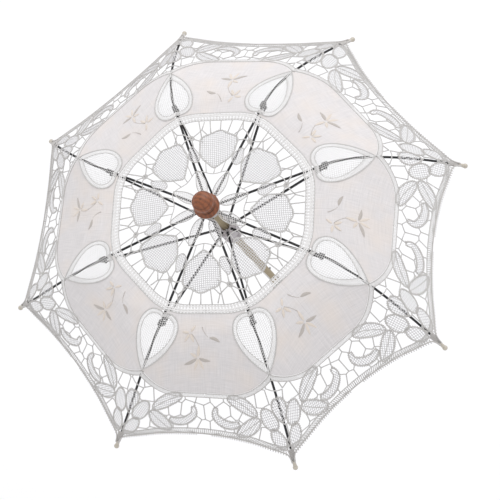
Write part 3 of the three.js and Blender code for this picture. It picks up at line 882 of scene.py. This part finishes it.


# A profile of radius and height turned about the axis through base along up. Its pattern says how
# deep each ring of corners lies in a groove, for the turned wood's painted shade: the mean radius
# two corners away, less its own.
def lathed(profile, base=(0, 0, 0), up=(0, 0, 1), segments=40, closed=False):
    profile = np.asarray(profile, float)
    turnTo = np.array(Vector((0, 0, 1)).rotation_difference(Vector(up)).to_matrix())
    turn = 2 * pi * np.arange(segments) / segments
    rings = np.stack([profile[:, None, 0] * np.cos(turn), profile[:, None, 0] * np.sin(turn),
                      profile[:, None, 1] + 0 * turn], -1)
    rings = (rings @ turnTo.T + np.asarray(base, float))[None]
    pattern = np.zeros(rings.shape)
    wide = np.pad(profile[:, 0], 2, mode="edge")
    hollow = (wide[:-4] + wide[4:]) / 2 - profile[:, 0]
    pattern[..., 0] = np.clip(hollow, 0, None)[None, :, None]
    return rings, sweptFaces(rings, closed), pattern


def addPiece(name, parts, material, body, replaced=(), turn=0.0):
    piece = makePiece(name, parts, material, turn)
    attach(piece, body)
    if replaced:
        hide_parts(*replaced)
    return piece


# A copy of a frame part with its corners rounded: loose triangles are merged, flat neighbours
# joined, and the edges bevelled.
def rounded(node, name, material, bevel):
    source = frame["nodes"][node]
    form = bmesh.new()
    form.from_mesh(source.data)
    bmesh.ops.remove_doubles(form, verts=form.verts, dist=2e-6)
    bmesh.ops.dissolve_limit(form, angle_limit=radians(1), verts=form.verts, edges=form.edges)
    for face in form.faces:
        face.smooth = True
    mesh = bpy.data.meshes.new(name)
    form.to_mesh(mesh)
    form.free()
    mesh.materials.clear()
    mesh.materials.append(material)
    piece = placed(name, mesh)
    edge = piece.modifiers.new("rounded edges", "BEVEL")
    edge.width, edge.segments, edge.limit_method = bevel * mm, 2, "ANGLE"
    edge.angle_limit = radians(25)
    piece.modifiers.new("even shading", "WEIGHTED_NORMAL")
    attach(piece, source["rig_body"])
    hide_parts(node)
    return piece


# rib: straight wire and bend, flattened to an eye at the hinge
def ribParts():
    s = ribShape
    r = np.concatenate([np.linspace(s["hingeRadius"] - 2.2, s["hingeRadius"] + 6, 14),
                        np.linspace(s["hingeRadius"] + 10, s["endRadius"] + 1.5, 60)])
    eye = np.sqrt(np.maximum(1 - ((r - s["hingeRadius"]) / s["eyeRadius"]) ** 2, 0.0))
    wire = 2 * s["wireRadius"]
    beyond = r > s["hingeRadius"]
    heights = np.maximum(np.where(beyond, wire, 0.4), s["eyeHeight"] * eye)
    widths = np.where(r < s["hingeRadius"] + 3, s["eyeWidth"], wire)
    side = np.tile([0.0, 1.0, 0.0], (len(r), 1))
    return [carried(onRib(r), side, widths, heights)]


# tip: a ball on a ferrule, pointing the way of the rib's last millimetre
def tipParts():
    ends = onRib(ribShape["endRadius"] + np.array([-1.0, 0.0]))
    up = unit(ends[1] - ends[0])
    a = np.linspace(pi - 0.62, 0.06, 18)
    ball = np.stack([3.1 * np.sin(a), 3.1 + 3.1 * np.cos(a)], -1)
    ferrule = [(1.5, -7.0), (2.1, -7.0), (2.3, -6.7), (2.3, -6.0), (2.05, -5.6), (2.05, -1.6),
               (2.3, -1.2), (2.3, -0.4), (1.9, 0.0)]
    return [lathed(np.concatenate([ferrule, ball]), ends[1], up, 28)]


ribMesh = ribParts()
tipMesh = tipParts()


# sewing thread: turns of cord round the rib where the cover is tacked to it
def tacks():
    parts = []
    for r0, turns, spread in ((128.5, 5, 0.9), (192.0, 6, 0.9), (232.0, 3, 0.9), (258.0, 4, 0.9)):
        t = np.linspace(0, 1, turns * 14)
        r = r0 + turns * spread * (t - 0.5)
        a = 2 * pi * turns * t
        near = ribShape["wireRadius"] + 0.45
        far = near + 1.1 * np.maximum(np.sin(a), 0)
        path = onRib(r) + np.stack([0 * r, near * np.cos(a), far * np.sin(a)], -1)
        parts.append(carried(path, np.tile([1.0, 0.0, 0.3], (len(r), 1)), 0.7, 0.7, 6))
    return parts


# binding: cotton thread wound over the neck of the cover and the rib's end, in a cone
def binding():
    turns = 13
    t = np.linspace(0, 1, turns * 16)
    r = 267.5 + 11.5 * t
    a = 2 * pi * turns * t
    out = 4.0 - 2.0 * t ** 0.7
    wound = [0 * r, out * np.cos(a), 0.8 * (1 - t) + out * 0.75 * np.sin(a)]
    path = onRib(r) + np.stack(wound, -1)
    return [carried(path, np.tile([1.0, 0.0, 0.4], (len(r), 1)), 1.15, 1.0, 6)]


bindingMesh = binding()
tackMesh = tacks()
for i in range(ribCount):
    turn, body, number = i * sector, f"rib_{i + 1}", i + 1
    addPiece(f"rib_wire_{number}", ribMesh, blackSteel, body, (f"rib_{number}",),
             turn)
    addPiece(f"ball_tip_{number}", tipMesh, tipEnamel, body,
             (f"rib_tip_{number}",), turn)
    addPiece(f"tacking_{number}", tackMesh, braidCotton, body, (), turn)
    addPiece(f"tip_binding_{number}", bindingMesh, cordCotton, body, (), turn)
    for node, label, bevel in ((f"rib_bracket_{number}", "joint_clip", 0.2),
                               (f"stretcher_{number}", "stretcher_bar", 0.3)):
        rounded(node, f"{label}_{number}", blackSteel, bevel)
print("frame: ribs, stretchers and tips made")

# finial: a turned knob in two tiers
low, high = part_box("finial")
base, top = low.z / mm, high.z / mm
shoulder = 17.0
dome = [(12.4 * cos(a), shoulder + (top - base - shoulder) * sin(a))
        for a in np.linspace(0, pi / 2 - 0.03, 26)]
for k, deep in ((8, 0.4), (9, 1.2), (10, 0.4), (17, 0.5)):      # turned grooves round the knob
    dome[k] = (dome[k][0] - deep * 0.4, dome[k][1] - deep)
finialProfile = [(5.4, 0.0), (13.2, 0.0), (14.4, 0.4), (15.0, 1.3), (15.0, 2.4), (14.4, 3.4),
                 (13.6, 4.0), (14.0, 4.4), (13.6, 5.1), (12.0, 5.8), (9.4, 6.2), (8.6, 7.0),
                 (8.4, 9.0), (9.0, 10.4), (11.4, 10.8), (12.4, 11.2), (12.7, 12.0), (12.5, 12.8),
                 (11.9, 13.3), (12.2, 14.2), (12.4, 15.6)] + dome
addPiece("finial_knob", [lathed(finialProfile, (0, 0, base), segments=64)], beech, rootBody,
         ("finial",))

# handle: a straight turned grip with beads
grip = [(0.4, 0.0), (8.6, 0.0), (9.5, 0.5), (11.4, 1.6), (12.2, 3.2), (12.2, 6.6), (11.5, 8.2),
        (9.6, 9.2), (9.0, 10.2), (9.0, 11.0), (9.5, 12.0), (10.2, 20.0), (10.8, 32.0), (11.0, 44.0),
        (10.9, 60.0), (10.1, 80.0), (9.2, 96.0), (8.6, 102.0), (8.4, 104.2), (9.4, 105.4),
        (9.8, 107.4), (10.6, 108.6), (10.8, 110.5), (10.6, 112.4), (9.6, 113.6), (9.0, 115.0),
        (8.8, 117.0), (8.8, 119.2), (8.3, 120.0), (5.4, 120.0), (5.4, 78.0), (0.4, 78.0)]
addPiece("turned_handle", [lathed(grip, segments=56)], beech, rootBody,
         ("handle",))

for node, label, material, slot, bevel in (
        ("shaft", "shaft_tube", shaftSteel, "shaft_tube", 0.12),
        ("top_notch", "notch_hub", hubPlastic, "hub_plastic", 0.3),
        ("runner", "runner_hub", hubPlastic, "hub_plastic", 0.3),
        ("top_catch", "upper_spring", nickelSteel, "bright_steel", 0.12),
        ("bottom_catch", "lower_spring", nickelSteel, "bright_steel", 0.12),
        ("handle_collar", "handle_ferrule", nickelSteel, "bright_steel", 0.4)):
    rounded(node, label, material, bevel)


def ring(node, radius, wire, body):
    low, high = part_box(node)
    a = np.linspace(0, 2 * pi, 72, endpoint=False)
    z = (low.z + high.z) / 2 / mm
    path = np.stack([radius * np.cos(a), radius * np.sin(a), 0 * a + z], -1)
    up = np.tile([0.0, 0.0, 1.0], (72, 1))
    return addPiece(node + "_ring", [carried(path, up, 2 * wire, 2 * wire, 12, closed=True)],
                    nickelSteel, body, (node,))


ring("notch_wire", 9.0, 0.7, rootBody)
ring("runner_wire", 10.0, 0.7, runnerBody)
for node, radius in (("notch_pin", 1.0), ("stop_pin", 0.8)):
    low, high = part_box(node)
    reach, z = high.y / mm, (low.z + high.z) / 2 / mm
    domed = [(radius * 0.6, -reach), (radius, -reach + 0.4), (radius, reach - 0.4),
             (radius * 0.6, reach)]
    addPiece(node + "_rivet", [lathed(domed, (0, 0, z), (0, 1, 0), 20)], nickelSteel, rootBody,
             (node,))

# washer: a cotton disc under the finial
low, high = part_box("apex_washer")
washer = [(5.4, 0.0), (11.6, 0.0), (12.0, 0.3), (12.0, 0.7), (11.6, 1.0), (5.4, 1.0)]
addPiece("felt_washer", [lathed(washer, (0, 0, low.z / mm), segments=48, closed=True)],
         braidCotton, rootBody, ("apex_washer",))
print("frame: hubs, shaft, handle and finial made")

stageSet = {"floorDrop": -1.1, "floorSize": 30.0, "keyPlace": (1.4, 1.7, 2.2),
            "keyAim": (0, 0, 0.4), "keyPower": 34.0, "keySize": 2.5, "world": 0.92}
floorMesh = bpy.data.meshes.new("floor")
half = stageSet["floorSize"] / 2
floorMesh.from_pydata([(half * x, half * y, stageSet["floorDrop"]) for x, y in (
    (-1, -1), (1, -1), (1, 1), (-1, 1))], [], [(0, 1, 2, 3)])
floor = placed("floor", floorMesh)
paper = newMaterial("studio floor, white")
finishMaterial(paper, addNode(paper, "BsdfDiffuse", {"Color": linear("#fbfbfd")}))
floorMesh.materials.append(paper)

world = bpy.data.worlds.new("studio")
bpy.context.scene.world = world
world.use_nodes = True
sky = world.node_tree.nodes["Background"].inputs
sky["Color"].default_value, sky["Strength"].default_value = (1, 1, 1, 1), stageSet["world"]
bpy.context.scene.view_settings.view_transform = "Standard"
light = bpy.data.lights.new("key", "AREA")
light.size, light.energy, light.color = stageSet["keySize"], stageSet["keyPower"], (1, 0.995, 0.99)
lamp = placed("key", light)
lamp.location = stageSet["keyPlace"]
lamp.rotation_mode = "QUATERNION"
aim = Vector(stageSet["keyAim"]) - Vector(stageSet["keyPlace"])
lamp.rotation_quaternion = aim.to_track_quat("-Z", "Y")

view = {"target": (0.0149, -0.0319, 0.3765), "distance": 1.644, "azimuth": -69.0,
        "elevation": 69.1, "roll": -42.56, "lens": 100.8}
a, e = radians(view["azimuth"]), radians(view["elevation"])
back = Vector((cos(a) * cos(e), sin(a) * cos(e), sin(e)))
level = Vector((0, 0, 1)).cross(back).normalized()
upright = back.cross(level)
roll = radians(view["roll"])
right = level * cos(roll) + upright * sin(roll)
up = back.cross(right)
camera = placed("camera", bpy.data.cameras.new("camera"))
camera.data.lens, camera.data.sensor_width = view["lens"], 36.0
camera.data.clip_end = 60.0
turnTo = Matrix((right, up, back)).transposed().to_4x4()
camera.matrix_world = Matrix.Translation(Vector(view["target"]) + back * view["distance"]) @ turnTo
bpy.context.scene.camera = camera
